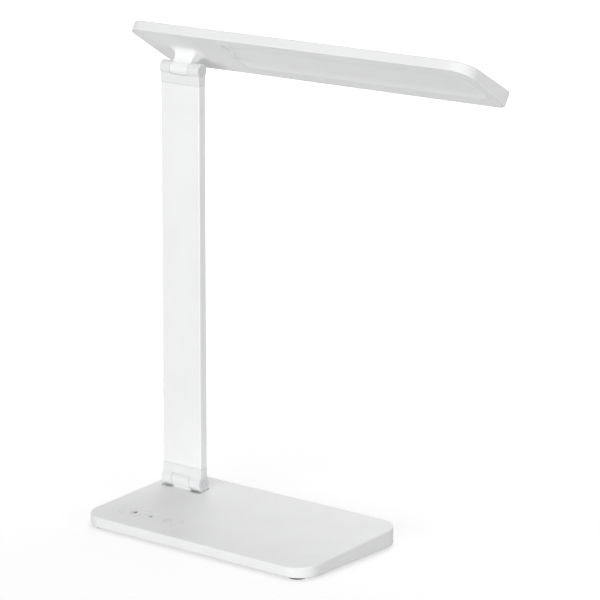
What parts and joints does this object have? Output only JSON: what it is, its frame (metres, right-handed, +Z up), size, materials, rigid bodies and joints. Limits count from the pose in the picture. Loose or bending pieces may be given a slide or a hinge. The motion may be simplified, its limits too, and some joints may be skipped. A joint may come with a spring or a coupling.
{
  "type": "folding desk lamp",
  "caption": "Slim folding desk lamp: wedge base with touch keys, flat arm on friction hinges at base and top, and a long light head with a recessed diffuser along its underside.",
  "frame": {"origin": "centre of the base's footprint on the desk, at the underside of the feet", "axes": "+X along the base's long edge and both hinge axes, to the user's right; +Y away from the user; +Z up"},
  "size_m": [0.2887, 0.1191, 0.3495],
  "materials": {
    "shell_white": "fine satin",
    "tray_white": "fine satin",
    "arm_white": "white powder coat, satin",
    "bracket_white": "white paint, satin",
    "plate_white": "fine texture",
    "foot_rubber": "matt",
    "screw_steel": "zinc plated",
    "weight_steel": "mill finish",
    "key_gloss": "glossy",
    "board_green": "solder resist",
    "parts_black": "moulded",
    "jack_black": "moulded",
    "lead_grey": "smooth sleeve",
    "bush_acetal": "machined",
    "shaft_steel": "ground",
    "washer_steel": "ground",
    "washer_white": "machined",
    "cap_grey": "satin",
    "diffuser_white": "milky satin",
    "guide_clear": "polished",
    "sheet_white": "matt film",
    "led_yellow": "moulded lens",
    "stiffener_steel": "mill finish"
  },
  "bodies": {
    "base": {"base_cover": "shell_white", "base_plate": "plate_white", "foot_pads": "foot_rubber", "base_screws": "screw_steel", "weight_plate": "weight_steel", "weight_block": "weight_steel", "touch_panel": "key_gloss", "touch_board": "board_green", "driver_board": "board_green", "driver_parts": "parts_black", "dc_jack": "jack_black", "base_hinge_block": "bracket_white", "hinge_block_screws": "screw_steel", "base_lead": "lead_grey", "lower_bushes": "bush_acetal"},
    "arm": {"arm_tube": "arm_white", "lower_bracket": "bracket_white", "upper_bracket": "bracket_white", "tube_screws": "screw_steel", "arm_lead": "lead_grey", "lower_wire_shaft": "shaft_steel", "lower_pivot_shaft": "shaft_steel", "lower_friction_washers": "washer_white", "lower_spring_washers": "washer_steel", "lower_end_caps": "cap_grey", "upper_wire_shaft": "shaft_steel", "upper_pivot_shaft": "shaft_steel", "upper_friction_washers": "washer_white", "upper_spring_washers": "washer_steel", "upper_end_caps": "cap_grey"},
    "head": {"head_cover": "shell_white", "head_tray": "tray_white", "upper_bushes": "bush_acetal", "diffuser": "diffuser_white", "light_guide": "guide_clear", "reflector_sheet": "sheet_white", "led_board": "board_green", "led_packages": "led_yellow", "neck_stiffener": "stiffener_steel", "stiffener_screws": "screw_steel", "head_lead": "lead_grey"}
  },
  "joints": [
    {"name": "base_hinge", "type": "hinge", "parent": "base", "child": "arm", "pos_m": [-0.0751, 0.0288, 0.01877], "axis": [1, 0, 0], "range_deg": [-30, 88]},
    {"name": "head_hinge", "type": "hinge", "parent": "arm", "child": "head", "pos_m": [-0.0751, 0.0288, 0.31597], "axis": [1, 0, 0], "range_deg": [-58, 120]}
  ]
}
